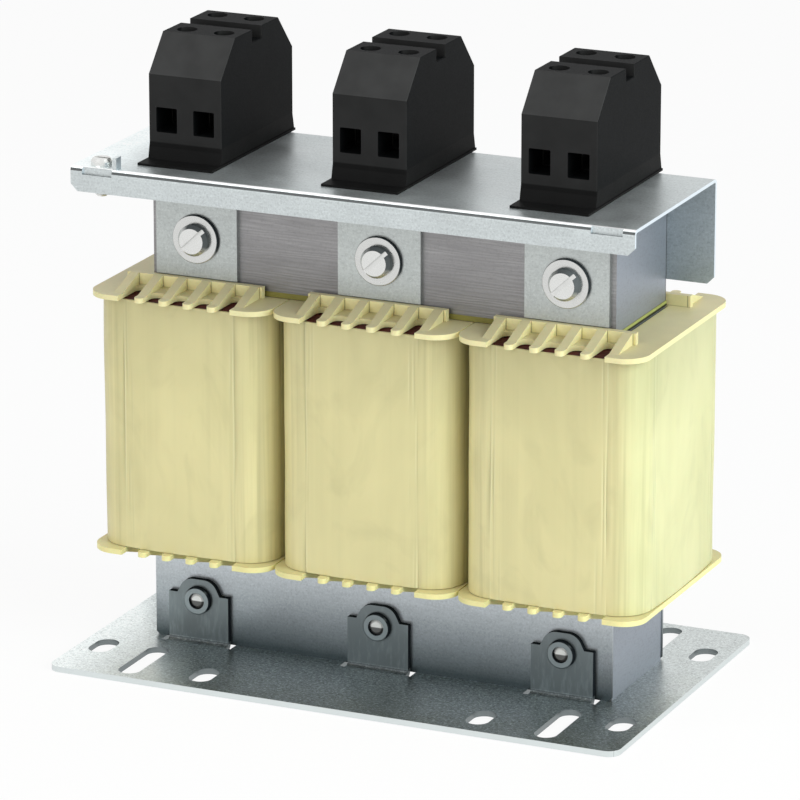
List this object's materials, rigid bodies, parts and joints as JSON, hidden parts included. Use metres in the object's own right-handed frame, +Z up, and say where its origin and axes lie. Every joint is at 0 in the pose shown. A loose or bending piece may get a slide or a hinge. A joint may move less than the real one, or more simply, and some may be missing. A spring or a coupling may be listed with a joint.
{
  "type": "three phase line reactor",
  "caption": "Open three-phase line reactor with a laminated core and wrapped coils on a slotted base plate, with terminal blocks on a folded cover.",
  "frame": {"origin": "middle of the base plate's underside, at the bottom centre of the whole part", "axes": "+X along the core from the left coil to the right coil, -Y towards the front with the clamp screw heads, +Z up to the terminal blocks"},
  "size_m": [0.1854, 0.1122, 0.1912],
  "materials": {
    "galvanised_steel": "spangled",
    "core_steel": "satin",
    "insulating_sheet": "matte",
    "coil_former": "matte",
    "winding_wire": "enamelled",
    "coil_wrap": "satin",
    "zinc_plated_steel": "bright",
    "terminal_plastic": "matte",
    "clamp_metal": "satin"
  },
  "bodies": {
    "root": {"base_plate": "galvanised_steel", "side_sheet_front": "galvanised_steel", "side_sheet_rear": "galvanised_steel", "cover_plate": "galvanised_steel", "core_stack": "core_steel", "upper_yoke": "core_steel", "gap_sheet": "insulating_sheet", "former_left": "coil_former", "winding_left": "winding_wire", "wrap_left": "coil_wrap", "strap_left": "galvanised_steel", "upper_screw_left": "zinc_plated_steel", "upper_washer_left": "zinc_plated_steel", "lower_screw_left": "zinc_plated_steel", "lower_washer_left": "zinc_plated_steel", "terminal_housing_left": "terminal_plastic", "terminal_clamps_left": "clamp_metal", "terminal_screws_left": "clamp_metal", "former_mid": "coil_former", "winding_mid": "winding_wire", "wrap_mid": "coil_wrap", "strap_mid": "galvanised_steel", "upper_screw_mid": "zinc_plated_steel", "upper_washer_mid": "zinc_plated_steel", "lower_screw_mid": "zinc_plated_steel", "lower_washer_mid": "zinc_plated_steel", "terminal_housing_mid": "terminal_plastic", "terminal_clamps_mid": "clamp_metal", "terminal_screws_mid": "clamp_metal", "former_right": "coil_former", "winding_right": "winding_wire", "wrap_right": "coil_wrap", "strap_right": "galvanised_steel", "upper_screw_right": "zinc_plated_steel", "upper_washer_right": "zinc_plated_steel", "lower_screw_right": "zinc_plated_steel", "lower_washer_right": "zinc_plated_steel", "terminal_housing_right": "terminal_plastic", "terminal_clamps_right": "clamp_metal", "terminal_screws_right": "clamp_metal", "earth_screw": "zinc_plated_steel", "earth_nut": "zinc_plated_steel"}
  },
  "joints": []
}
